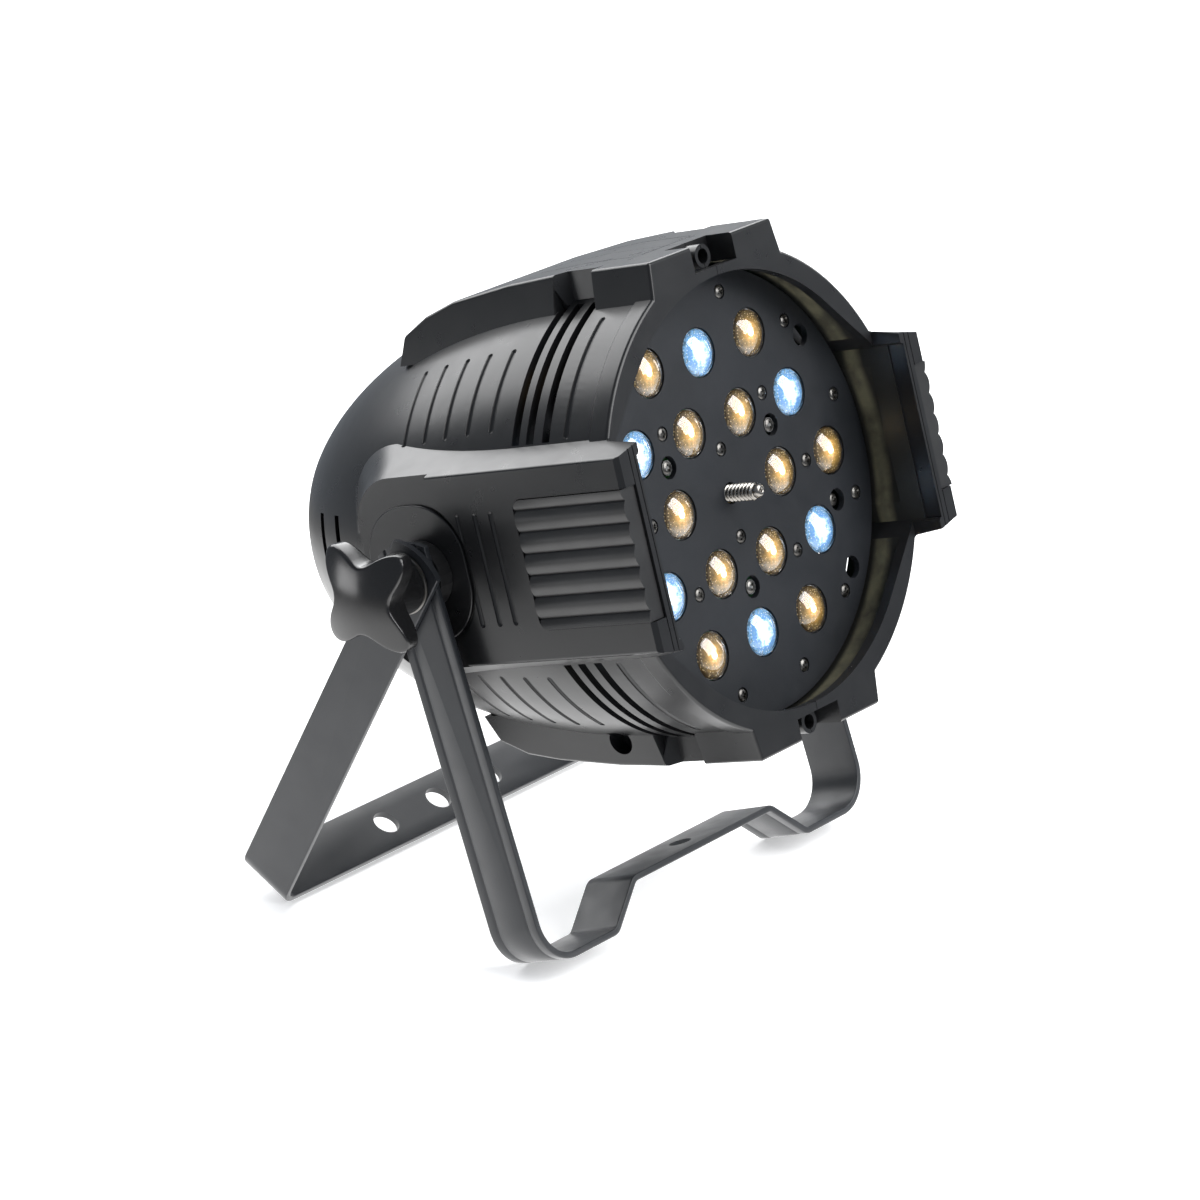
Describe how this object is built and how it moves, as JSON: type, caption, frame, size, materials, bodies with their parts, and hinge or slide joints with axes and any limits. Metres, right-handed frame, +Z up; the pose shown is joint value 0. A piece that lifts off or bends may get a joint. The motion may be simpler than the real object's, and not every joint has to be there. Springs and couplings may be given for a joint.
{
  "type": "par can stage light",
  "caption": "Round par can stage light with a field of domed LED lenses, side ears, star knobs and a double bracket that stands on a floor or takes a hanging clamp.",
  "frame": {"origin": "on the floor, at the centre of the bounding box's base, with both brackets standing on it", "axes": "+Z up; the lens side looks towards -Y and is tipped up by 16.65 degrees; +X is on the right when the lens side is looked at"},
  "size_m": [0.3038, 0.2576, 0.3055],
  "materials": {
    "black_plastic": "satin black moulded ABS",
    "plate_black": "satin black",
    "black_paint": "fine-texture black powder coat with a cold tint",
    "rubber": "matt black",
    "clear_acrylic": "clear moulded acrylic domes in front of coloured emitters",
    "steel": "bright zinc or nickel plate",
    "brass": "turned",
    "aluminium": "plain",
    "circuit_board": "solder-masked fibreglass board",
    "smoked_window": "dark smoked acrylic"
  },
  "bodies": {
    "can": {"shell_left": "black_plastic", "shell_right": "black_plastic", "grip_pad_left": "rubber", "grip_pad_right": "rubber", "guide_rod_1": "steel", "guide_rod_2": "steel", "guide_rod_3": "steel", "zoom_motor": "plate_black", "led_board": "circuit_board", "heatsink": "aluminium", "fan_frame": "black_plastic", "power_supply": "aluminium", "driver_board": "circuit_board", "rear_panel": "plate_black", "display_board": "circuit_board", "display_window": "smoked_window", "dmx_in": "steel", "dmx_out": "steel", "power_inlet": "black_plastic", "fuse_holder": "black_plastic", "safety_eye": "steel", "seam_screw_top": "steel", "seam_screw_bottom": "steel", "pivot_bolt_left": "steel", "pivot_bolt_right": "steel", "nut_plate_left": "steel", "nut_plate_right": "steel", "pivot_spacer_left": "rubber", "pivot_spacer_right": "rubber", "knob_washer_left": "steel", "knob_washer_right": "steel"},
    "zoom_carriage": {"lens_plate": "plate_black", "lens_array": "clear_acrylic", "zoom_nut": "brass"},
    "zoom_screw": {"lead_screw": "steel"},
    "fan": {"fan_rotor": "black_plastic"},
    "knob_left": {"knob_left": "black_plastic"},
    "knob_right": {"knob_right": "black_plastic"},
    "front_bracket": {"front_bracket": "black_paint"},
    "rear_bracket": {"rear_bracket": "black_paint"},
    "menu_button_1": {"menu_button_1": "rubber"},
    "menu_button_2": {"menu_button_2": "rubber"},
    "menu_button_3": {"menu_button_3": "rubber"},
    "menu_button_4": {"menu_button_4": "rubber"}
  },
  "joints": [
    {"name": "front_bracket_pivot", "type": "hinge", "parent": "can", "child": "front_bracket", "pos_m": [0, 0.0029, 0.17], "axis": [1, 0, 0], "continuous": true},
    {"name": "rear_bracket_pivot", "type": "hinge", "parent": "can", "child": "rear_bracket", "pos_m": [0, 0.0029, 0.17], "axis": [1, 0, 0], "continuous": true},
    {"name": "knob_left_spin", "type": "hinge", "parent": "can", "child": "knob_left", "pos_m": [0, 0.0029, 0.17], "axis": [1, 0, 0], "continuous": true},
    {"name": "knob_right_spin", "type": "hinge", "parent": "can", "child": "knob_right", "pos_m": [0, 0.0029, 0.17], "axis": [1, 0, 0], "continuous": true},
    {"name": "zoom_slide", "type": "slide", "parent": "can", "child": "zoom_carriage", "axis": [0, -0.9581, 0.2865], "range_m": [-0.014, 0.006]},
    {"name": "zoom_screw_spin", "type": "hinge", "parent": "can", "child": "zoom_screw", "pos_m": [0, -0.07854, 0.19435], "axis": [0, -0.9581, 0.2865], "range_deg": [-640, 280]},
    {"name": "fan_spin", "type": "hinge", "parent": "can", "child": "fan", "pos_m": [0, 0.00913, 0.16814], "axis": [0, -0.9581, 0.2865], "continuous": true},
    {"name": "menu_button_1_press", "type": "slide", "parent": "can", "child": "menu_button_1", "axis": [0, -0.9581, 0.2865], "range_m": [0, 0.0012], "stiffness_N_per_m": 800, "springref_m": -0.0005},
    {"name": "menu_button_2_press", "type": "slide", "parent": "can", "child": "menu_button_2", "axis": [0, -0.9581, 0.2865], "range_m": [0, 0.0012], "stiffness_N_per_m": 800, "springref_m": -0.0005},
    {"name": "menu_button_3_press", "type": "slide", "parent": "can", "child": "menu_button_3", "axis": [0, -0.9581, 0.2865], "range_m": [0, 0.0012], "stiffness_N_per_m": 800, "springref_m": -0.0005},
    {"name": "menu_button_4_press", "type": "slide", "parent": "can", "child": "menu_button_4", "axis": [0, -0.9581, 0.2865], "range_m": [0, 0.0012], "stiffness_N_per_m": 800, "springref_m": -0.0005}
  ],
  "couplings": [
    {"joint": "zoom_screw_spin", "follows": "zoom_slide", "rad_per_m": 785.4}
  ]
}
